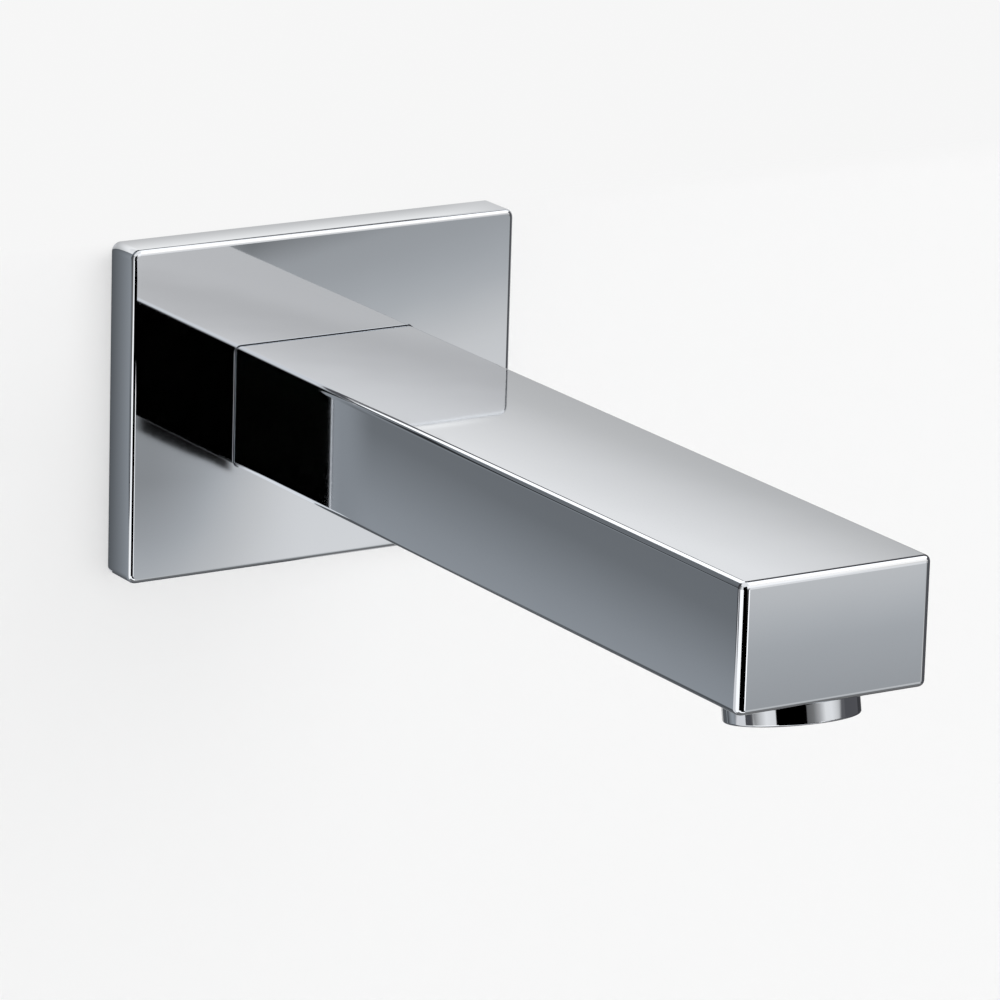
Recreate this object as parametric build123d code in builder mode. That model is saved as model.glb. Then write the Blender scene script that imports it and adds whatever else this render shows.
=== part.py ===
from build123d import *
import os
from math import cos, hypot, radians, sin, sqrt

# Bath spout for wall mounting. A hollow cast bar is pushed onto a threaded wall nipple and held by
# a grub screw, a cover plate slides over the bar and hides the joint at the wall, and a nozzle set
# at a tilt into the underside holds a recessed aerator.
# Millimetres. Y = 0 is the finished wall, the spout reaches out along -Y and Z is up.
# The origin lies on the axis of the wall thread.

# Spout body
spout_width = 42.0
spout_height = 25.4
spout_reach = 196.0  # wall to front face
spout_wall = 3.2
spout_edge_radius = 1.3
spout_corner_radius = 1.6  # upright edges of the front face
spout_tail_gap = 3.0  # wall to the rear face inside the plate
waterway_corner_radius = 3.0
waterway_neck_length = 4.0  # between the nipple's socket and the waterway
waterway_neck_diameter = 15.0

# Cover plate at the wall
plate_width = 90.0
plate_height = 70.0
plate_depth = 9.0
plate_wall = 2.6
plate_corner_radius = 1.9
plate_edge_radius = 1.05
plate_opening_gap = 0.1
plate_opening_edge_radius = 0.2
collar_wall = 3.0
collar_back_gap = 2.6  # wall to the rear end of the collar

# Rubber ring in the collar
seal_width = 2.0
seal_groove_depth = 1.6

# Foam frame behind the plate
gasket_thickness = 2.0
gasket_width = 5.0
gasket_rebate = 1.2  # how far the rebate cuts into the plate's wall

# Wall nipple
thread_diameter = 20.955  # G 1/2
thread_length = 18.0  # behind the wall
thread_chamfer = 1.2
thread_shoulder_gap = 0.5  # nipple's shoulder to the spout's rear face
spigot_diameter = 18.9
spigot_chamfer = 0.8
nipple_reach = 42.0  # wall to the front end of the spigot
nipple_bore_diameter = 11.8
nipple_key_size = 12.0  # across the flats of the internal hexagon
nipple_key_depth = 10.0
socket_lead_in = 0.9
socket_floor_gap = 1.0

# O-rings on the spigot
ring_groove_width = 2.7
ring_groove_depth = 1.45
ring_width = 2.2  # as squeezed in its groove
ring_spacing = 5.6
ring_end_distance = 4.4  # spigot's front end to the first groove

# Grub screw
grub_diameter = 5.0
grub_distance = 20.0  # wall to the screw's axis
grub_recess = 0.3
grub_point_diameter = 2.4
grub_key_size = 2.5
grub_key_depth = 1.6
grub_groove_depth = 1.0

# Outlet nozzle
nozzle_setback = 14.4  # front face to the nozzle's axis, on the underside
nozzle_tilt = 11.6  # degrees, aims the water away from the wall
nozzle_diameter = 25.8
nozzle_drop = 6.6  # underside to the lower rim, along the axis
nozzle_rim_radius = 0.4
nozzle_neck_diameter = 24.0
nozzle_shoulder_height = 3.6  # underside to the shoulder, along the axis
nozzle_seat_diameter = 16.4
nozzle_seat_thickness = 2.4
nozzle_boss_wall = 3.0

# Aerator cartridge
cartridge_thread_diameter = 22.0
cartridge_recess = 0.6
cartridge_height = 10.0
cartridge_wall = 1.5
cartridge_lip = 0.8
cartridge_ledge = 0.5
key_notch_count = 12
key_notch_width = 1.6
key_notch_depth = 0.7
grid_thickness = 2.2
grid_rim = 0.7
cell_size = 1.75  # across the flats
cell_wall = 0.4
jet_disc_thickness = 1.6
jet_slot_count = 20
jet_slot_length = 2.4
jet_slot_width = 0.8
jet_circle_diameter = 13.0
strainer_rim_thickness = 1.2
strainer_skin = 0.6
strainer_dome_height = 2.0
mesh_hole = 1.1
mesh_pitch = 1.8
washer_thickness = 1.6
washer_diameter = 21.4

# Fits
slide_gap = 0.1
thread_gap = 0.1
rubber_gap = 0.05

# Places along the wall's normal, measured out from the wall
socket_end = nipple_reach + socket_floor_gap
waterway_start = socket_end + waterway_neck_length
shoulder_distance = spout_tail_gap - thread_shoulder_gap

# The nozzle's axis, with its foot on the underside and its direction up into the spout
tilt = radians(nozzle_tilt)
nozzle_foot = (0, nozzle_setback - spout_reach, -spout_height / 2)
nozzle_up = (0, sin(tilt), cos(tilt))
nozzle_axis = Axis(nozzle_foot, nozzle_up)
nozzle_plane = Plane(nozzle_foot, x_dir=(1, 0, 0), z_dir=nozzle_up)
# Half sections of turned pieces are drawn here, radius along x and height along y
nozzle_section = Plane(nozzle_foot, x_dir=(1, 0, 0), z_dir=(0, -cos(tilt), sin(tilt)))

# Heights along the nozzle's axis
nozzle_low = -nozzle_drop
cartridge_low = nozzle_low + cartridge_recess
cartridge_top = cartridge_low + cartridge_height
seat_height = cartridge_top + washer_thickness
nozzle_top = seat_height + nozzle_seat_thickness
grid_low = cartridge_low + cartridge_lip
strainer_low = cartridge_top - strainer_rim_thickness
jet_disc_low = strainer_low - jet_disc_thickness

# Radii that two pieces share
socket_radius = spigot_diameter / 2 + slide_gap
ring_floor_radius = spigot_diameter / 2 - ring_groove_depth
cartridge_radius = cartridge_thread_diameter / 2 - thread_gap
cartridge_bore_radius = cartridge_radius - cartridge_wall
disc_pocket_radius = cartridge_bore_radius + cartridge_ledge
nozzle_boss_radius = nozzle_diameter / 2 + nozzle_boss_wall

os.makedirs("parts", exist_ok=True)


# Spout body: cast brass bar with a rectangular waterway, chrome plated
# The waterway leaves a round boss standing on its floor for the nozzle
with BuildPart() as waterway:
    with BuildSketch(Plane.XZ.offset(waterway_start)):
        RectangleRounded(
            spout_width - 2 * spout_wall,
            spout_height - 2 * spout_wall,
            waterway_corner_radius,
        )
    extrude(amount=spout_reach - spout_wall - waterway_start)
    with BuildSketch(nozzle_plane.offset(nozzle_top)):
        Circle(nozzle_boss_radius)
    extrude(amount=-nozzle_top - spout_height, mode=Mode.SUBTRACT)

with BuildPart() as spout_body:
    with BuildSketch(Plane.XZ.offset(spout_tail_gap)):
        Rectangle(spout_width, spout_height)
    extrude(amount=spout_reach - spout_tail_gap)
    front_face = spout_body.faces().sort_by(Axis.Y)[0]
    fillet(front_face.edges().filter_by(Axis.Z), radius=spout_corner_radius)
    tail_face = spout_body.faces().sort_by(Axis.Y)[-1]
    outlines = spout_body.faces().filter_by(Axis.Z).edges()
    fillet(outlines - tail_face.edges(), radius=spout_edge_radius)
    add(waterway.part, mode=Mode.SUBTRACT)
    with BuildSketch(Plane.XZ.offset(spout_tail_gap)):
        Circle(socket_radius)
    extrude(amount=socket_end - spout_tail_gap, mode=Mode.SUBTRACT)
    tail_face = spout_body.faces().sort_by(Axis.Y)[-1]
    chamfer(tail_face.edges().filter_by(GeomType.CIRCLE), length=socket_lead_in)
    with BuildSketch(Plane.XZ.offset(socket_end)):
        Circle(waterway_neck_diameter / 2)
    extrude(amount=waterway_neck_length, mode=Mode.SUBTRACT)
    with BuildSketch(nozzle_plane.offset(nozzle_shoulder_height)):
        Circle(nozzle_diameter / 2 + slide_gap)
    extrude(amount=-spout_height, mode=Mode.SUBTRACT)
    with BuildSketch(nozzle_plane.offset(nozzle_shoulder_height)):
        Circle(nozzle_neck_diameter / 2 + slide_gap)
    extrude(amount=nozzle_top - nozzle_shoulder_height, mode=Mode.SUBTRACT)
    with BuildSketch(Plane.XY.offset(-spout_height / 2)):
        with Locations((0, -grub_distance)):
            Circle(grub_diameter / 2 + thread_gap)
    extrude(amount=spout_height / 2, mode=Mode.SUBTRACT)
spout_body.part.label = "spout_body"
export_step(spout_body.part, "parts/spout_body.step")


# Cover plate: chrome plated brass box, open at the back, with a collar round its opening
with BuildPart() as wall_plate:
    opening_width = spout_width + 2 * plate_opening_gap
    opening_height = spout_height + 2 * plate_opening_gap
    opening_corner_radius = spout_edge_radius + plate_opening_gap
    with BuildSketch(Plane.XZ):
        RectangleRounded(plate_width, plate_height, plate_corner_radius)
    extrude(amount=plate_depth)
    front_face = wall_plate.faces().sort_by(Axis.Y)[0]
    fillet(front_face.edges(), radius=plate_edge_radius)
    with BuildSketch(Plane.XZ):
        Rectangle(plate_width - 2 * plate_wall, plate_height - 2 * plate_wall)
    extrude(amount=plate_depth - plate_wall, mode=Mode.SUBTRACT)
    with BuildSketch(Plane.XZ):
        Rectangle(
            plate_width - 2 * (plate_wall - gasket_rebate),
            plate_height - 2 * (plate_wall - gasket_rebate),
        )
    extrude(amount=gasket_thickness, mode=Mode.SUBTRACT)
    with BuildSketch(Plane.XZ.offset(collar_back_gap)):
        RectangleRounded(
            opening_width + 2 * collar_wall,
            opening_height + 2 * collar_wall,
            opening_corner_radius + collar_wall,
        )
    extrude(amount=plate_depth - plate_wall - collar_back_gap)
    with BuildSketch(Plane.XZ):
        RectangleRounded(opening_width, opening_height, opening_corner_radius)
    extrude(amount=plate_depth, mode=Mode.SUBTRACT)
    front_face = wall_plate.faces().sort_by(Axis.Y)[0]
    fillet(front_face.inner_wires()[0].edges(), radius=plate_opening_edge_radius)
    groove_start = (collar_back_gap + plate_depth - plate_wall - seal_width) / 2
    with BuildSketch(Plane.XZ.offset(groove_start)):
        RectangleRounded(
            opening_width + 2 * seal_groove_depth,
            opening_height + 2 * seal_groove_depth,
            opening_corner_radius + seal_groove_depth,
        )
    extrude(amount=seal_width, mode=Mode.SUBTRACT)
wall_plate.part.label = "wall_plate"
export_step(wall_plate.part, "parts/wall_plate.step")


# Plate seal: square-section rubber ring that fills the collar's groove and grips the bar
with BuildPart() as plate_seal:
    seal_outer = plate_opening_gap + seal_groove_depth - rubber_gap
    with BuildSketch(Plane.XZ.offset(groove_start + rubber_gap)):
        RectangleRounded(
            spout_width + 2 * seal_outer,
            spout_height + 2 * seal_outer,
            spout_edge_radius + seal_outer,
        )
        RectangleRounded(
            spout_width + 2 * rubber_gap,
            spout_height + 2 * rubber_gap,
            spout_edge_radius + rubber_gap,
            mode=Mode.SUBTRACT,
        )
    extrude(amount=seal_width - 2 * rubber_gap)
plate_seal.part.label = "plate_seal"
export_step(plate_seal.part, "parts/plate_seal.step")


# Wall gasket: closed-cell foam frame in the plate's rebate, flush with the wall
with BuildPart() as wall_gasket:
    gasket_outer_width = plate_width - 2 * (plate_wall - gasket_rebate + rubber_gap)
    gasket_outer_height = plate_height - 2 * (plate_wall - gasket_rebate + rubber_gap)
    with BuildSketch(Plane.XZ):
        Rectangle(gasket_outer_width, gasket_outer_height)
        Rectangle(
            gasket_outer_width - 2 * gasket_width,
            gasket_outer_height - 2 * gasket_width,
            mode=Mode.SUBTRACT,
        )
    extrude(amount=gasket_thickness)
wall_gasket.part.label = "wall_gasket"
export_step(wall_gasket.part, "parts/wall_gasket.step")


# Wall nipple: turned brass, thread into the wall fitting and spigot into the spout
ring_distances = {
    "front": nipple_reach - ring_end_distance - ring_groove_width / 2,
    "rear": nipple_reach - ring_end_distance - ring_groove_width / 2 - ring_spacing,
}
with BuildPart() as wall_nipple:
    with BuildSketch(Plane.XZ.offset(-thread_length)):
        Circle(thread_diameter / 2)
    extrude(amount=thread_length + shoulder_distance)
    thread_end = wall_nipple.edges().sort_by(Axis.Y)[-1]
    chamfer(thread_end, length=thread_chamfer)
    with BuildSketch(Plane.XZ.offset(shoulder_distance)):
        Circle(spigot_diameter / 2)
    extrude(amount=nipple_reach - shoulder_distance)
    spigot_end = wall_nipple.edges().sort_by(Axis.Y)[0]
    chamfer(spigot_end, length=spigot_chamfer)
    for distance in ring_distances.values():
        with BuildSketch(Plane.XZ.offset(distance - ring_groove_width / 2)):
            Circle(spigot_diameter / 2)
            Circle(ring_floor_radius, mode=Mode.SUBTRACT)
        extrude(amount=ring_groove_width, mode=Mode.SUBTRACT)
    with BuildSketch(Plane.XY):
        with BuildLine():
            floor_radius = spigot_diameter / 2 - grub_groove_depth
            half_floor = grub_point_diameter / 2
            half_mouth = half_floor + grub_groove_depth
            Polyline(
                (floor_radius, half_floor - grub_distance),
                (spigot_diameter / 2, half_mouth - grub_distance),
                (spigot_diameter / 2, -half_mouth - grub_distance),
                (floor_radius, -half_floor - grub_distance),
                close=True,
            )
        make_face()
    revolve(axis=Axis.Y, mode=Mode.SUBTRACT)
    with BuildSketch(Plane.XZ.offset(-thread_length)):
        Circle(nipple_bore_diameter / 2)
    extrude(amount=thread_length + nipple_reach, mode=Mode.SUBTRACT)
    with BuildSketch(Plane.XZ.offset(nipple_reach)):
        RegularPolygon(nipple_key_size / 2, side_count=6, major_radius=False)
    extrude(amount=-nipple_key_depth, mode=Mode.SUBTRACT)
wall_nipple.part.label = "wall_nipple"
export_step(wall_nipple.part, "parts/wall_nipple.step")


# O-rings: rubber, flattened between the groove's floor and the socket
for place, distance in ring_distances.items():
    with BuildPart() as o_ring:
        ring_inner = ring_floor_radius + rubber_gap
        ring_height = socket_radius - rubber_gap - ring_inner
        with BuildSketch(Plane.XY):
            with Locations((ring_inner + ring_height / 2, -distance)):
                SlotOverall(ring_width, ring_height, rotation=90)
        revolve(axis=Axis.Y)
    o_ring.part.label = f"nipple_o_ring_{place}"
    export_step(o_ring.part, f"parts/nipple_o_ring_{place}.step")


# Grub screw: steel, hexagon socket below, its blunt point in the nipple's groove
with BuildPart() as grub_screw:
    grub_low = grub_recess - spout_height / 2
    grub_top = grub_groove_depth - spigot_diameter / 2 - slide_gap
    grub_radius = grub_diameter / 2
    point_radius = grub_point_diameter / 2
    with BuildSketch(Plane.XY.offset(grub_low)):
        with Locations((0, -grub_distance)):
            Circle(grub_radius)
    extrude(amount=grub_top - grub_low)
    point_edge = grub_screw.edges().filter_by(GeomType.CIRCLE).sort_by(Axis.Z)[-1]
    chamfer(point_edge, length=grub_radius - point_radius)
    with BuildSketch(Plane.XY.offset(grub_low)):
        with Locations((0, -grub_distance)):
            RegularPolygon(grub_key_size / 2, side_count=6, major_radius=False)
    extrude(amount=grub_key_depth, mode=Mode.SUBTRACT)
grub_screw.part.label = "grub_screw"
export_step(grub_screw.part, "parts/grub_screw.step")


# Outlet nozzle: turned brass sleeve soldered into the underside, chrome plated
with BuildPart() as outlet_nozzle:
    with BuildSketch(nozzle_section):
        with BuildLine():
            Polyline(
                (cartridge_thread_diameter / 2, nozzle_low),
                (nozzle_diameter / 2, nozzle_low),
                (nozzle_diameter / 2, nozzle_shoulder_height),
                (nozzle_neck_diameter / 2, nozzle_shoulder_height),
                (nozzle_neck_diameter / 2, nozzle_top),
                (nozzle_seat_diameter / 2, nozzle_top),
                (nozzle_seat_diameter / 2, seat_height),
                (cartridge_thread_diameter / 2, seat_height),
                close=True,
            )
        make_face()
    revolve(axis=nozzle_axis)
    lower_rim = outlet_nozzle.edges().filter_by(GeomType.CIRCLE).group_by(nozzle_axis)[0]
    fillet(lower_rim.sort_by(SortBy.RADIUS)[-1], radius=nozzle_rim_radius)
outlet_nozzle.part.label = "outlet_nozzle"
export_step(outlet_nozzle.part, "parts/outlet_nozzle.step")


# Aerator body: moulded cartridge with key notches round its lower rim
with BuildPart() as aerator_body:
    lip_radius = cartridge_bore_radius - cartridge_lip
    with BuildSketch(nozzle_section):
        with BuildLine():
            Polyline(
                (lip_radius, cartridge_low),
                (cartridge_radius, cartridge_low),
                (cartridge_radius, cartridge_top),
                (disc_pocket_radius, cartridge_top),
                (disc_pocket_radius, jet_disc_low),
                (cartridge_bore_radius, jet_disc_low),
                (cartridge_bore_radius, grid_low),
                (lip_radius, grid_low),
                close=True,
            )
        make_face()
    revolve(axis=nozzle_axis)
    notch_outer_radius = cartridge_bore_radius + cartridge_wall / 2
    notch_length = notch_outer_radius - lip_radius + slide_gap
    with BuildSketch(nozzle_plane.offset(cartridge_low)):
        with PolarLocations(notch_outer_radius - notch_length / 2, key_notch_count):
            Rectangle(notch_length, key_notch_width)
    extrude(amount=key_notch_depth, mode=Mode.SUBTRACT)
aerator_body.part.label = "aerator_body"
export_step(aerator_body.part, "parts/aerator_body.step")


# Aerator grid: honeycomb disc that rests on the cartridge's lip
with BuildPart() as aerator_grid:
    grid_radius = cartridge_bore_radius - slide_gap
    cell_pitch = cell_size + cell_wall
    column_pitch = cell_pitch * sqrt(3) / 2
    cell_rows = int(grid_radius / column_pitch)
    cells = [
        (column * column_pitch, (row + column % 2 / 2) * cell_pitch)
        for column in range(-cell_rows, cell_rows + 1)
        for row in range(-cell_rows, cell_rows + 1)
    ]
    cell_reach = grid_radius - grid_rim - cell_size / sqrt(3)
    with BuildSketch(nozzle_plane.offset(grid_low)):
        Circle(grid_radius)
        with Locations(*[cell for cell in cells if hypot(*cell) < cell_reach]):
            RegularPolygon(
                cell_size / 2,
                side_count=6,
                major_radius=False,
                mode=Mode.SUBTRACT,
            )
    extrude(amount=grid_thickness)
aerator_grid.part.label = "aerator_grid"
export_step(aerator_grid.part, "parts/aerator_grid.step")


# Jet disc: slotted disc on the cartridge's ledge, splits the flow into jets
with BuildPart() as aerator_jet_disc:
    with BuildSketch(nozzle_plane.offset(jet_disc_low)):
        Circle(disc_pocket_radius - slide_gap)
        with PolarLocations(jet_circle_diameter / 2, jet_slot_count):
            Rectangle(jet_slot_length, jet_slot_width, mode=Mode.SUBTRACT)
    extrude(amount=jet_disc_thickness)
aerator_jet_disc.part.label = "aerator_jet_disc"
export_step(aerator_jet_disc.part, "parts/aerator_jet_disc.step")


# Strainer: domed mesh in a flat rim, on top of the jet disc
with BuildPart() as aerator_strainer:
    rim_radius = disc_pocket_radius - slide_gap
    dome_radius = nozzle_seat_diameter / 2 - slide_gap
    inner_dome_radius = dome_radius - strainer_skin
    dome_crown = cartridge_top + strainer_dome_height
    with BuildSketch(nozzle_section):
        with BuildLine():
            TangentArc(
                (0, dome_crown),
                (dome_radius, cartridge_top),
                tangent=(1, 0),
            )
            Polyline(
                (dome_radius, cartridge_top),
                (rim_radius, cartridge_top),
                (rim_radius, strainer_low),
                (inner_dome_radius, strainer_low),
            )
            TangentArc(
                (0, dome_crown - strainer_skin),
                (inner_dome_radius, strainer_low),
                tangent=(1, 0),
            )
            Line((0, dome_crown - strainer_skin), (0, dome_crown))
        make_face()
    revolve(axis=nozzle_axis)
    mesh_rows = int(2 * inner_dome_radius / mesh_pitch) + 1
    holes = GridLocations(mesh_pitch, mesh_pitch, mesh_rows, mesh_rows).local_locations
    mesh_reach = inner_dome_radius - mesh_pitch / 2
    with BuildSketch(nozzle_plane.offset(strainer_low)):
        with Locations(*[hole for hole in holes if hole.position.length < mesh_reach]):
            Rectangle(mesh_hole, mesh_hole)
    extrude(amount=strainer_rim_thickness + strainer_dome_height, mode=Mode.SUBTRACT)
aerator_strainer.part.label = "aerator_strainer"
export_step(aerator_strainer.part, "parts/aerator_strainer.step")


# Washer: rubber, pressed between the cartridge and the nozzle's seat
with BuildPart() as aerator_washer:
    with BuildSketch(nozzle_plane.offset(cartridge_top)):
        Circle(washer_diameter / 2)
        Circle(nozzle_seat_diameter / 2, mode=Mode.SUBTRACT)
    extrude(amount=washer_thickness)
aerator_washer.part.label = "aerator_washer"
export_step(aerator_washer.part, "parts/aerator_washer.step")
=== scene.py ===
from math import atan2, cos, hypot, radians, tau

import bmesh
import bpy
from mathutils import Matrix, Vector


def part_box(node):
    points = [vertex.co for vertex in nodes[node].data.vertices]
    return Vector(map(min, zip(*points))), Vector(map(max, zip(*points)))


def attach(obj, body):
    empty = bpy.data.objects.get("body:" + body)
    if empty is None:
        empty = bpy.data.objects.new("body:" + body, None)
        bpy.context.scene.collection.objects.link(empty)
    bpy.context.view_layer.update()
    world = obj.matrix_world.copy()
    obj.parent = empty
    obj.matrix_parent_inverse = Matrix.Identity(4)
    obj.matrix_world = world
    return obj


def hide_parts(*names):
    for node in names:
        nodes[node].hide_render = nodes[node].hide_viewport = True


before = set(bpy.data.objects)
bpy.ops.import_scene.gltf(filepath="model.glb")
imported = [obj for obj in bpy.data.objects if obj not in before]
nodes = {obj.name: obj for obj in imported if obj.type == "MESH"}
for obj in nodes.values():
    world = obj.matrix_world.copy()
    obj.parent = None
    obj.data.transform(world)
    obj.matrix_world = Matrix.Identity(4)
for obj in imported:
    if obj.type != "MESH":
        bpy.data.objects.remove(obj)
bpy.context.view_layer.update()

scene = bpy.context.scene


# Wall nipple: the brass tube that screws into the pipe in the wall and carries the spout.
# It is turned from round bar: a parallel pipe thread behind, a smooth spigot with two ring grooves
# and a hexagon for the key in front. The bare brass keeps the fine rings of the turning tool.
nipple_low, nipple_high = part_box("wall_nipple")
thread_radius = nipple_high.x
thread_pitch = 0.001814
thread_root = thread_radius - 0.00116
thread_front = -0.0006
thread_rear = nipple_high.y
thread_run_out = 0.0008
collar_front = -0.0025
spigot_radius = 0.00945
spigot_front = nipple_low.y
spigot_chamfer = 0.0008
screw_groove_radius = 0.00845
screw_groove_mouth = (-0.0178, -0.0222)
screw_groove_floor = (-0.0188, -0.0212)
ring_groove_radius = 0.0080
rear_ring_groove = (-0.0293, -0.0320)
front_ring_groove = (-0.0349, -0.0376)
bore_radius = 0.0059
key_radius = 0.0060
key_floor = -0.0320
turned_profile = (
    (bore_radius, thread_rear),
    (thread_root, thread_rear),
    (thread_root, thread_front),
    (thread_radius, thread_front - thread_run_out),
    (thread_radius, collar_front),
    (spigot_radius, collar_front),
    (spigot_radius, screw_groove_mouth[0]),
    (screw_groove_radius, screw_groove_floor[0]),
    (screw_groove_radius, screw_groove_floor[1]),
    (spigot_radius, screw_groove_mouth[1]),
    (spigot_radius, rear_ring_groove[0]),
    (ring_groove_radius, rear_ring_groove[0]),
    (ring_groove_radius, rear_ring_groove[1]),
    (spigot_radius, rear_ring_groove[1]),
    (spigot_radius, front_ring_groove[0]),
    (ring_groove_radius, front_ring_groove[0]),
    (ring_groove_radius, front_ring_groove[1]),
    (spigot_radius, front_ring_groove[1]),
    (spigot_radius, spigot_front + spigot_chamfer),
    (spigot_radius - spigot_chamfer, spigot_front),
    (key_radius, spigot_front),
    (key_radius, key_floor),
    (bore_radius, key_floor),
)
crest_rounding = 0.00010
ridge_sunk = 0.00010
ridge_profile = (
    (thread_root, 0.00012),
    (thread_radius - crest_rounding, 0.00074),
    (thread_radius, 0.00091),
    (thread_radius - crest_rounding, 0.00108),
    (thread_root, 0.00170),
)
thread_turns = 9.6
thread_steps = 460
thread_start = Vector((0, thread_front - 0.0004, 0))


def drawn(shape, profile, closed):
    """A profile of (radius, along) points joined by edges, ready to be spun."""
    points = [shape.verts.new((radius, along, 0)) for radius, along in profile]
    pairs = list(zip(points, points[1:]))
    if closed:
        pairs.append((points[-1], points[0]))
    edges = [shape.edges.new(pair) for pair in pairs]
    return points + edges


def made_object(shape, name):
    mesh = bpy.data.meshes.new(name)
    shape.to_mesh(mesh)
    shape.free()
    piece = bpy.data.objects.new(name, mesh)
    scene.collection.objects.link(piece)
    return piece


shape = bmesh.new()
bmesh.ops.spin(
    shape,
    geom=drawn(shape, turned_profile, closed=True),
    cent=(0, 0, 0),
    axis=(0, 1, 0),
    angle=tau,
    steps=96,
    use_merge=True,
)
key_side = tau / 6
nearby = 0.00002
for point in shape.verts:
    if abs(hypot(point.co.x, point.co.z) - key_radius) < nearby:
        turn = atan2(point.co.z, point.co.x)
        from_flat = turn - key_side * round(turn / key_side)
        point.co.x /= cos(from_flat)
        point.co.z /= cos(from_flat)
bmesh.ops.recalc_face_normals(shape, faces=shape.faces)
turned = set(shape.verts)
ridge = drawn(shape, ridge_profile, closed=False)
bmesh.ops.translate(shape, verts=ridge[: len(ridge_profile)], vec=thread_start)
bmesh.ops.spin(
    shape,
    geom=ridge,
    cent=(0, 0, 0),
    axis=(0, 1, 0),
    dvec=(0, thread_pitch * thread_turns / thread_steps, 0),
    angle=tau * thread_turns,
    steps=thread_steps,
)
ridge_faces = [face for face in shape.faces if not turned.issuperset(face.verts)]
bmesh.ops.recalc_face_normals(shape, faces=ridge_faces)
for point in set(shape.verts) - turned:
    along = min(point.co.y, thread_rear - nearby)
    radius = hypot(point.co.x, point.co.z)
    room = thread_root + min(thread_rear - along, along - thread_front)
    shrink = min(1, max(room, thread_root - ridge_sunk) / radius)
    point.co = Vector((point.co.x * shrink, along, point.co.z * shrink))
for face in ridge_faces:
    face.smooth = True
from_axis = Vector((1, 0, 1))
if sum(face.normal.dot(face.calc_center_median() * from_axis) for face in ridge_faces) < 0:
    bmesh.ops.reverse_faces(shape, faces=ridge_faces)
wall_nipple = made_object(shape, "threaded_nipple")
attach(wall_nipple, "root")
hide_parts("wall_nipple")


class Shade:
    """One output of a shader node, which takes part in sums like a number."""

    def __init__(self, tree, socket):
        self.tree = tree
        self.socket = socket

    @classmethod
    def node(cls, tree, kind, settings=None, sockets=None, output=0):
        made = tree.nodes.new(kind)
        for name, setting in (settings or {}).items():
            if name == "stops":
                ramp = made.color_ramp.elements
                while len(ramp) < len(setting):
                    ramp.new(1)
                for stop, (place, level) in zip(ramp, setting):
                    stop.position = place
                    stop.color = (*level, 1) if isinstance(level, tuple) else (level, level, level, 1)
            else:
                setattr(made, name, setting)
        for name, given in (sockets or {}).items():
            if isinstance(given, Shade):
                tree.links.new(given.socket, made.inputs[name])
            else:
                made.inputs[name].default_value = given
        return None if output is None else cls(tree, made.outputs[output])

    def math(self, operation, first, second):
        return self.node(self.tree, "ShaderNodeMath", {"operation": operation}, {0: first, 1: second})

    def __add__(self, other):
        return self.math("ADD", self, other)

    def __radd__(self, other):
        return self.math("ADD", other, self)

    def __sub__(self, other):
        return self.math("SUBTRACT", self, other)

    def __rsub__(self, other):
        return self.math("SUBTRACT", other, self)

    def __mul__(self, other):
        return self.math("MULTIPLY", self, other)

    def __rmul__(self, other):
        return self.math("MULTIPLY", other, self)

    def __lt__(self, other):
        return self.math("LESS_THAN", self, other)

    def __gt__(self, other):
        return self.math("GREATER_THAN", self, other)

    def between(self, low, high):
        """0 at low, 1 at high, with a soft run between them."""
        return self.node(
            self.tree,
            "ShaderNodeMapRange",
            {"interpolation_type": "SMOOTHSTEP"},
            {"Value": self, "From Min": low, "From Max": high},
        )

    def greater(self, other):
        return self.math("MAXIMUM", self, other)

    def blend(self, first, second):
        """The first colour where this is 0 and the second where it is 1."""
        return self.node(
            self.tree,
            "ShaderNodeMix",
            {"data_type": "RGBA"},
            {0: self, 6: first, 7: second},
            output=2,
        )

    def tinted(self, tint, share=1.0):
        """This colour, multiplied by a tint."""
        return self.node(
            self.tree,
            "ShaderNodeMix",
            {"data_type": "RGBA", "blend_type": "MULTIPLY"},
            {0: share, 6: self, 7: tint},
            output=2,
        )


def new_material(name):
    material = bpy.data.materials.new(name)
    material.use_nodes = True
    material.node_tree.nodes.clear()
    return material, material.node_tree


def on_piece(tree):
    return Shade.node(tree, "ShaderNodeTexCoord", output="Object")


def grain(tree, where, scale, detail=2.0, stretch=(1, 1, 1)):
    """Cloudy noise between 0 and 1, drawn out where a stretch is below 1."""
    drawn_out = Shade.node(tree, "ShaderNodeMapping", sockets={"Vector": where, "Scale": stretch})
    return Shade.node(
        tree,
        "ShaderNodeTexNoise",
        sockets={"Vector": drawn_out, "Scale": scale, "Detail": detail},
    )


def bumped(tree, height, strength, distance):
    return Shade.node(
        tree,
        "ShaderNodeBump",
        sockets={"Height": height, "Strength": strength, "Distance": distance},
    )


def surfaced(tree, **sockets):
    """A principled surface with these sockets, led to the material's output."""
    named = {name.replace("_", " ").title(): given for name, given in sockets.items()}
    surface = Shade.node(tree, "ShaderNodeBsdfPrincipled", sockets=named)
    Shade.node(tree, "ShaderNodeOutputMaterial", sockets={"Surface": surface}, output=None)


turned_brass, tree = new_material("turned_brass")
here = on_piece(tree)
turning_marks = grain(tree, here, 900.0, detail=3.0, stretch=(0.02, 1, 0.02))
tarnish = grain(tree, here, 90.0, detail=4.0)
surfaced(
    tree,
    base_color=tarnish.between(0.35, 0.75).blend((0.72, 0.50, 0.20, 1), (0.55, 0.35, 0.13, 1)),
    metallic=1.0,
    roughness=0.22 + turning_marks * 0.16,
    normal=bumped(tree, turning_marks, 0.25, 0.00005),
)
wall_nipple.data.materials.append(turned_brass)


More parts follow.
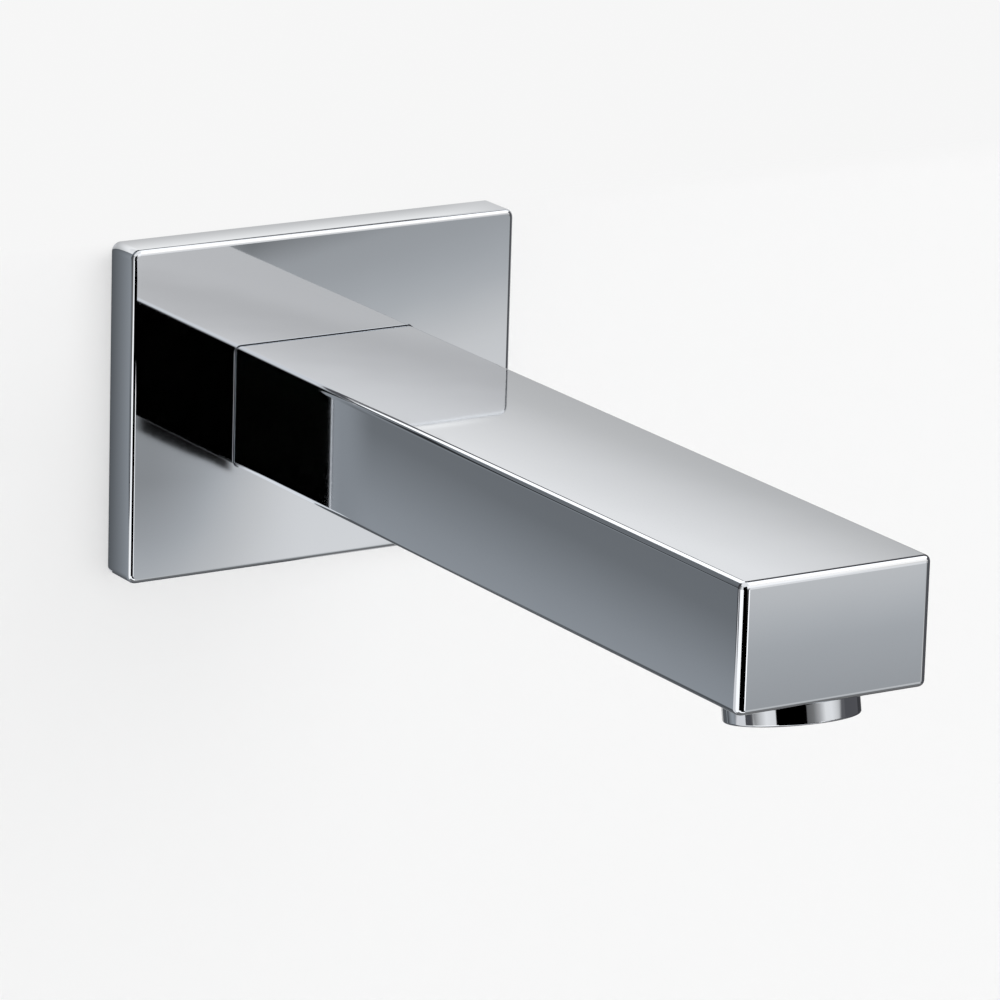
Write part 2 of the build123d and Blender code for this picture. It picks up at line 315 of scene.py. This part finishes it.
# O-rings, plate seal and aerator washer: moulded black rubber. The rings seal the spigot in the
# spout, the square ring in the plate's collar grips the bar, and the washer seals the aerator.
# Rubber is matt, with a fine bloom of lighter grey.
black_rubber, tree = new_material("black_rubber")
here = on_piece(tree)
bloom = grain(tree, here, 450.0, detail=5.0)
surfaced(
    tree,
    base_color=bloom.between(0.4, 0.8).blend((0.016, 0.016, 0.017, 1), (0.045, 0.045, 0.047, 1)),
    roughness=0.5 + bloom * 0.25,
    normal=bumped(tree, bloom, 0.2, 0.00008),
)
for name in ("nipple_o_ring_front", "nipple_o_ring_rear", "plate_seal", "aerator_washer"):
    nodes[name].material_slots[0].material = black_rubber


# Spout body: a hollow brass casting, ground flat, polished and chrome plated. It slides over the
# nipple. The plating is a mirror with a faint cool cast, a trace of polishing haze along the bar
# and the slightest waviness that flat polished faces keep.
chrome_light = (0.603, 0.620, 0.645, 1)
chrome_dark = (0.587, 0.606, 0.633, 1)


def polished_chrome(name, haze, stretch):
    material, tree = new_material(name)
    here = on_piece(tree)
    plating = grain(tree, here, 14.0, detail=1.0)
    polishing = grain(tree, here, 700.0, detail=3.0, stretch=stretch)
    waviness = grain(tree, here, 45.0, detail=1.0)
    surfaced(
        tree,
        base_color=plating.between(0.3, 0.7).blend(chrome_light, chrome_dark),
        metallic=1.0,
        roughness=haze + polishing * 0.012,
        normal=bumped(tree, waviness, 0.05, 0.0004),
    )
    return material


bar_chrome = polished_chrome("bar_chrome", 0.035, (1, 0.03, 1))
nodes["spout_body"].material_slots[0].material = bar_chrome


# Grub screw: hardened steel with a hexagon socket, turned up into the nipple's groove from below
# to lock the spout. It is phosphated grey, worn brighter by the key.
grey_steel, tree = new_material("grey_steel")
here = on_piece(tree)
phosphate = grain(tree, here, 1200.0, detail=4.0)
surfaced(
    tree,
    base_color=phosphate.between(0.3, 0.75).blend((0.20, 0.20, 0.21, 1), (0.42, 0.42, 0.43, 1)),
    metallic=1.0,
    roughness=0.3 + phosphate * 0.2,
    normal=bumped(tree, phosphate, 0.15, 0.00003),
)
nodes["grub_screw"].material_slots[0].material = grey_steel


# Wall gasket: a frame of closed-cell foam in the plate's rear rebate, pressed against the wall
# so that no water runs behind the plate. The cut foam shows its cells.
dark_foam, tree = new_material("dark_foam")
here = on_piece(tree)
cells = Shade.node(tree, "ShaderNodeTexVoronoi", sockets={"Vector": here, "Scale": 1400.0})
surfaced(
    tree,
    base_color=cells.between(0.1, 0.7).blend((0.035, 0.035, 0.038, 1), (0.12, 0.12, 0.125, 1)),
    roughness=0.85,
    normal=bumped(tree, cells, 0.6, 0.0003),
)
nodes["wall_gasket"].material_slots[0].material = dark_foam


# Cover plate: a brass box, open towards the wall, with a collar round the bar. It is slid along
# the bar to hide the joint. Its face is polished and plated like the bar, a touch crisper.
plate_chrome = polished_chrome("plate_chrome", 0.020, (1, 1, 1))
nodes["wall_plate"].material_slots[0].material = plate_chrome


# Outlet nozzle: a turned brass sleeve, soldered into the underside at a tilt and plated with the
# bar. Its bore holds the aerator.
nozzle_chrome = polished_chrome("nozzle_chrome", 0.04, (1, 1, 1))
nodes["outlet_nozzle"].material_slots[0].material = nozzle_chrome


# Aerator: a moulded cartridge screwed into the nozzle, with a honeycomb outlet grid, a slotted
# jet disc and a domed strainer. All are pale grey acetal, with the soft sheen of the mould.
grey_acetal, tree = new_material("grey_acetal")
here = on_piece(tree)
mould_skin = grain(tree, here, 800.0, detail=3.0)
surfaced(
    tree,
    base_color=mould_skin.between(0.3, 0.8).blend((0.50, 0.52, 0.53, 1), (0.58, 0.60, 0.61, 1)),
    roughness=0.38 + mould_skin * 0.12,
    normal=bumped(tree, mould_skin, 0.1, 0.00004),
)
for name in ("aerator_body", "aerator_grid", "aerator_jet_disc", "aerator_strainer"):
    nodes[name].material_slots[0].material = grey_acetal


# Studio wall and floor: one pale painted sheet, swept from the wall plane into the floor. Seen from
# behind it is clear, so that the rear of the spout can be looked at. In the metal the wall is not lit
# but glows with painted light and shade: bright above the bar, painted shade over the plate's top,
# painted dark lines, falling to blue grey low on the left.
wall_plane = 0.0002
floor_level = -0.55
sweep_radius = 0.15
sheet_half = 2.0

shape = bmesh.new()
corners = [
    shape.verts.new((-sheet_half, wall_plane, sheet_half)),
    shape.verts.new((-sheet_half, wall_plane, floor_level)),
    shape.verts.new((-sheet_half, -2 * sheet_half, floor_level)),
]
for pair in zip(corners, corners[1:]):
    shape.edges.new(pair)
bmesh.ops.bevel(
    shape,
    geom=[corners[1]],
    offset=sweep_radius,
    offset_type="OFFSET",
    segments=16,
    profile=0.5,
    affect="VERTICES",
    material=-1,
)
swept = bmesh.ops.extrude_edge_only(shape, edges=shape.edges)
bmesh.ops.translate(
    shape,
    verts=[part for part in swept["geom"] if isinstance(part, bmesh.types.BMVert)],
    vec=(2 * sheet_half, 0, 0),
)
bmesh.ops.recalc_face_normals(shape, faces=shape.faces)
if max(shape.faces, key=lambda face: face.calc_center_median().z).normal.y > 0:
    bmesh.ops.reverse_faces(shape, faces=shape.faces)
for face in shape.faces:
    face.smooth = True
studio_sheet = made_object(shape, "studio_sheet")

brightest = 2.0


def place(tree):
    """How far across, along the spout and up a point lies."""
    parts = Shade.node(tree, "ShaderNodeSeparateXYZ", sockets={0: on_piece(tree)}).socket.node.outputs
    return [Shade(tree, part) for part in parts]


def grey(level):
    return (level, level, level, 1)


def levels(value, *stops):
    """A light level along a value, from stops of (value, level)."""
    low = stops[0][0]
    span = stops[-1][0] - low
    placed = [((stop - low) / span, level / brightest) for stop, level in stops]
    share = (value - low) * (1 / span)
    return Shade.node(value.tree, "ShaderNodeValToRGB", {"stops": placed}, {0: share})


pale_paint, tree = new_material("pale_paint")
across, along, height = place(tree)
slope = height - across * 0.58
# Painted light on the wall as the metal sees it: light levels graded across the wall above the bar.
above_bar = levels(
    height - across * 0.455,
    (-0.050, 0.55), (0.000, 0.60), (0.0085, 0.675), (0.0107, 0.705), (0.0139, 0.79), (0.0172, 0.875),
    (0.0206, 0.95), (0.0239, 1.01), (0.0282, 1.10), (0.040, 1.12),
)
above_bar = slope.between(0.064, 0.070).blend(above_bar, grey(0.90))
above_bar = height.between(0.20, 0.35).blend(above_bar, grey(0.66))
# Painted dark lines in the wall's glow: above the bar, over the plate and out in front.
bar_line = slope.between(0.028, 0.033) * slope.between(0.066, 0.060)
bar_line = bar_line * height.between(0.045, 0.052)
plate_line = height.between(0.040, 0.042) * height.between(0.050, 0.047)
plate_line = plate_line * across.between(0.036, 0.028)
front_line = across.between(0.096, 0.102) * height.between(0.084, 0.092)
painted_dark_line = (0.06, 0.06, 0.065, 1)
above_bar = bar_line.greater(plate_line).greater(front_line).blend(above_bar, painted_dark_line)
# Painted shade in the wall's glow just over the plate's top, lightening upwards.
painted_plate_shade = height.between(0.0345, 0.0385).blend(grey(0.34), (0.64, 0.64, 0.635, 1))
clear_of_plate = height.between(0.0382, 0.0388).greater(across.between(0.028, 0.050))
upper_wall = clear_of_plate.blend(painted_plate_shade, above_bar)
# Painted light and shade in the wall's glow left of the bar and the plate, tinted blue grey.
beside_bar = levels(
    slope,
    (-0.090, 0.10), (-0.045, 0.12), (-0.030, 0.32), (-0.015, 0.45), (0.0025, 0.42), (0.0075, 0.385),
    (0.0225, 0.24), (0.034, 0.226), (0.048, 0.27), (0.060, 0.36), (0.072, 0.05), (0.090, 0.03),
    (0.097, 0.30), (0.110, 0.22),
)
leftwards = across * -1
beside_plate = levels(leftwards, (0.0450, 0.135), (0.0475, 0.27), (0.0500, 0.41), (0.0520, 0.38))
left_wall = leftwards.between(0.052, 0.060).blend(beside_plate, beside_bar)
left_wall = left_wall.tinted((0.93, 1.0, 1.075, 1))
left_below = (across + height * 0.6) < -0.025
left_above = (across + height * 0.33) < -0.017
on_left = left_below + (left_above - left_below) * (height > 0.040)
near_wall = on_left.blend(upper_wall, left_wall)
unlit = (0.03, 0.03, 0.033, 1)
far_left = height.between(-0.088, -0.096).blend(unlit, (0.50, 0.50, 0.51, 1))
whole_wall = across.between(-0.160, -0.185).blend(near_wall, far_left)
whole_wall = across.between(0.18, 0.24).blend(whole_wall, unlit)
plate_half_width = 0.045
plate_half_height = 0.035
# Painted shade: the wall's glow is dark grey where the plate covers it.
behind_plate = (across * across < plate_half_width**2) * (height * height < plate_half_height**2)
whole_wall = behind_plate.blend(whole_wall, (0.40, 0.40, 0.41, 1))
# The wall's painted light and shade, darker out in front, which the metal sees as a glow.
painted_wall_in_metal = (along * -1).between(0.01, 0.06).blend(whole_wall, grey(0.12))


def in_metal(tree):
    """1 for a ray that has met only polished metal, 0 for one that lights the wall."""
    mirrored = Shade.node(tree, "ShaderNodeLightPath", output="Is Glossy Ray")
    return mirrored * (Shade.node(tree, "ShaderNodeLightPath", output="Diffuse Depth") < 0.5)


wall_white = grey(0.925)
paint = Shade.node(tree, "ShaderNodeBsdfDiffuse", sockets={"Color": grey(0.93)})
plain_white = Shade.node(tree, "ShaderNodeEmission", sockets={"Color": wall_white})
in_view = Shade.node(tree, "ShaderNodeLightPath", output="Is Camera Ray")
far_off = (across * across + height * height).between(0.06, 0.25)
# Painted light: just over the plate the camera sees plain white, which clears the plate's shade there.
painted_light_over_plate = height.between(0.0305, 0.0360)
white_share = in_view * (far_off.greater(painted_light_over_plate) * 0.5 + 0.5)
paint = Shade.node(tree, "ShaderNodeMixShader", sockets={0: white_share, 1: paint, 2: plain_white})
# The sheet glows with this painted light and shade for rays that met only metal; it is no lamp.
glow = Shade.node(
    tree,
    "ShaderNodeEmission",
    sockets={"Color": painted_wall_in_metal, "Strength": brightest},
)
clear = Shade.node(tree, "ShaderNodeBsdfTransparent")
lit = Shade.node(tree, "ShaderNodeMixShader", sockets={0: in_metal(tree), 1: paint, 2: glow})
behind = Shade.node(tree, "ShaderNodeNewGeometry", output="Backfacing")
sheet_surface = Shade.node(tree, "ShaderNodeMixShader", sockets={0: behind, 1: lit, 2: clear})
Shade.node(tree, "ShaderNodeOutputMaterial", sockets={"Surface": sheet_surface}, output=None)
studio_sheet.data.materials.append(pale_paint)


# Studio cards: soft boxes and flags round the spout that only its polished metal sees. The front
# card is graded in bands and has a black flag on its left. A white card closes the left side and a
# dark flag the right side, and a soft box hangs overhead.
def card(name, corners, colour_of):
    shape = bmesh.new()
    shape.faces.new([shape.verts.new(corner) for corner in corners])
    made = made_object(shape, name)
    made.visible_camera = False
    made.visible_diffuse = False
    made.visible_shadow = False
    material, tree = new_material(name)
    glow = Shade.node(
        tree,
        "ShaderNodeEmission",
        sockets={"Color": colour_of(tree), "Strength": brightest},
    )
    clear = Shade.node(tree, "ShaderNodeBsdfTransparent")
    seen = Shade.node(tree, "ShaderNodeMixShader", sockets={0: in_metal(tree), 1: clear, 2: glow})
    Shade.node(tree, "ShaderNodeOutputMaterial", sockets={"Surface": seen}, output=None)
    made.data.materials.append(material)


def under_root(across, height):
    """1 low on the front plane, where only the root of the bar's lower edge looks."""
    aside = across + 0.023
    below_bow = (height - aside * aside * 1.72).between(-0.3325, -0.3365)
    return below_bow * height.between(-0.225, -0.240)


def front_light(tree):
    """A low band for the plate and the front, a middle one for edges, a high one for upper edges."""
    across, _, height = place(tree)
    before_bar = levels(
        height,
        (-0.500, 0.90), (-0.210, 0.75), (-0.198, 0.63), (-0.190, 0.54), (-0.172, 0.40), (-0.150, 0.42),
        (-0.126, 0.53), (-0.114, 0.60), (-0.102, 0.77), (-0.085, 0.90),
    )
    before_plate = levels(
        height - (across - 0.32) * 0.18,
        (-0.500, 0.60), (-0.206, 0.78), (-0.198, 1.06), (-0.170, 1.02), (-0.145, 0.90), (-0.137, 0.81),
        (-0.127, 0.68), (-0.118, 0.60), (-0.110, 0.545), (-0.103, 0.52), (-0.092, 0.25),
    )
    plate_below = across.between(0.225, 0.285)
    plate_above = across.between(0.240, 0.262)
    plate_share = plate_below + (plate_above - plate_below) * height.between(-0.16, -0.14)
    low_band = plate_share.blend(before_bar, before_plate)
    low_band = low_band.tinted((0.965, 1.0, 1.03, 1), share=low_band.between(0.45, 0.28))
    # Painted reflection: a black foot on the card, so that the plate shows the mirrored bar's dark
    # side down to its root.
    root_left = 0.2565 - across
    root_rise = height + 0.1728
    painted_block_foot = (root_rise - root_left * 0.515).between(-0.0007, 0.0004)
    painted_block_foot = painted_block_foot * height.between(-0.138, -0.145)
    painted_block_foot = painted_block_foot * root_left.between(-0.0005, 0.0025) * root_left.between(0.0345, 0.0300)
    low_band = painted_block_foot.blend(low_band, grey(0.001))
    low_band = across.between(0.352, 0.400).blend(low_band, (0.06, 0.06, 0.062, 1))
    low_band = across.between(0.145, 0.135).blend(low_band, grey(0.90))
    lowest_flag = across.between(0.185, 0.175) * height.between(-0.210, -0.222)
    low_flag = across.between(0.085, 0.078).greater(lowest_flag) * (1 - under_root(across, height))
    low_band = low_flag.blend(low_band, grey(0))
    middle_band = levels(
        across,
        (-0.050, 0.15), (-0.040, 0.19), (0.014, 0.27), (0.072, 0.58), (0.138, 1.12), (0.220, 1.15),
        (0.340, 0.89), (0.560, 0.27), (0.650, 0.10),
    )
    plate_line = across.between(0.245, 0.275) * height.between(-0.022, -0.034)
    middle_band = plate_line.blend(middle_band, (0.08, 0.08, 0.085, 1))
    high_band = levels(
        height - across * 0.33,
        (0.000, 1.07), (0.0525, 1.085), (0.0575, 1.12), (0.0625, 0.97), (0.0675, 1.07), (0.0725, 1.20),
        (0.0775, 1.355), (0.0825, 1.46), (0.200, 1.50),
    )
    high_band = high_band.tinted((1.025, 1.0, 0.97, 1))
    high_band = across.between(0.226, 0.208).blend(high_band, grey(0.74))
    graded = height.between(-0.088, -0.062).blend(low_band, middle_band)
    return height.between(0.040, 0.100).blend(graded, high_band)


def left_light(tree):
    """White low down for the upright edges, and graded along the nozzle further up."""
    _, along, height = place(tree)
    beside_nozzle = levels(
        along,
        (-0.500, 0.00), (-0.450, 0.00), (-0.435, 1.08), (-0.300, 1.18), (-0.220, 0.80), (-0.140, 0.35),
        (-0.050, 0.13), (0.000, 0.11),
    )
    beside_wall = height.between(-0.127, -0.133).blend((0.05, 0.05, 0.055, 1), grey(0.50))
    beside_edges = along.between(-0.14, -0.11).blend(grey(0.80), beside_wall)
    return height.between(-0.085, -0.100).blend(beside_nozzle, beside_edges)


def flag_light(tree):
    """Black, with light at its upper end and at its foot."""
    across, _, height = place(tree)
    above_and_below = height.between(0.25, 0.36).greater(under_root(across, height))
    return above_and_below.blend(grey(0), grey(0.85))


def overhead_light(tree):
    """Brighter on the right."""
    across, _, _ = place(tree)
    return across.between(0.12, 0.20).blend(grey(0.62), grey(0.95))


def upright(start, end, top):
    """The corners of an upright card between two points of the plan."""
    foot = -0.5
    return (*start, foot), (*start, top), (*end, top), (*end, foot)


front_left = (-0.42, -0.50)
front_join = (-0.05, -0.50)
front_right = (0.65, -0.50)
rear_left = (-0.42, 0)
rear_right = (0.65, 0)
overhead_corners = ((-0.6, -0.52, 0.45), (-0.6, -0.02, 0.45), (0.7, -0.02, 0.45), (0.7, -0.52, 0.45))
card("front_card", upright(front_join, front_right, 0.4), front_light)
card("black_flag", upright(front_left, front_join, 0.4), flag_light)
card("white_card", upright(front_left, rear_left, 0.35), left_light)
card("dark_flag", upright(front_right, rear_right, 0.4), lambda tree: (0.06, 0.06, 0.065, 1))
card("overhead_box", overhead_corners, overhead_light)


# Light on the wall: a broad lamp from the right, and an even pale surround. The lamp lights the
# wall, also by way of the metal, but doesn't itself show in the metal.
lamp = bpy.data.lights.new("broad_lamp", "AREA")
lamp.size = 3.2
lamp.energy = 64
lamp.use_nodes = True
tree = lamp.node_tree
tree.nodes.clear()
lamp_glow = Shade.node(tree, "ShaderNodeEmission", sockets={"Strength": 1 - in_metal(tree)})
Shade.node(tree, "ShaderNodeOutputLight", sockets={"Surface": lamp_glow}, output=None)
broad_lamp = bpy.data.objects.new("broad_lamp", lamp)
broad_lamp.location = (1.6, -3.3, 1.1)
broad_lamp.rotation_euler = (-broad_lamp.location).to_track_quat("-Z", "Y").to_euler()
scene.collection.objects.link(broad_lamp)

world = bpy.data.worlds.new("surround")
world.use_nodes = True
tree = world.node_tree
tree.nodes.clear()
camera_ray = Shade.node(tree, "ShaderNodeLightPath", output="Is Camera Ray")
surround = camera_ray.blend(grey(0.62), wall_white)
sky = Shade.node(tree, "ShaderNodeBackground", sockets={"Color": surround})
Shade.node(tree, "ShaderNodeOutputWorld", sockets={"Surface": sky}, output=None)
scene.world = world


# Camera: a long lens from the front left, a little above the spout, tipped slightly.
view = bpy.data.cameras.new("photo_view")
view.sensor_width = 36
view.lens = 231.47
photo_view = bpy.data.objects.new("photo_view", view)
aim = Vector((-0.0094, -0.0939, 0.00065))
distance = Vector((0, 0, 1.249923))
sideways = Matrix.Rotation(radians(-31.947), 4, "Z")
downwards = Matrix.Rotation(radians(90 - 15.91), 4, "X")
tipped = Matrix.Rotation(radians(1.703), 4, "Z")
facing = sideways @ downwards @ tipped
photo_view.matrix_world = Matrix.Translation(aim) @ facing @ Matrix.Translation(distance)
scene.collection.objects.link(photo_view)
scene.camera = photo_view
scene.view_settings.view_transform = "Standard"
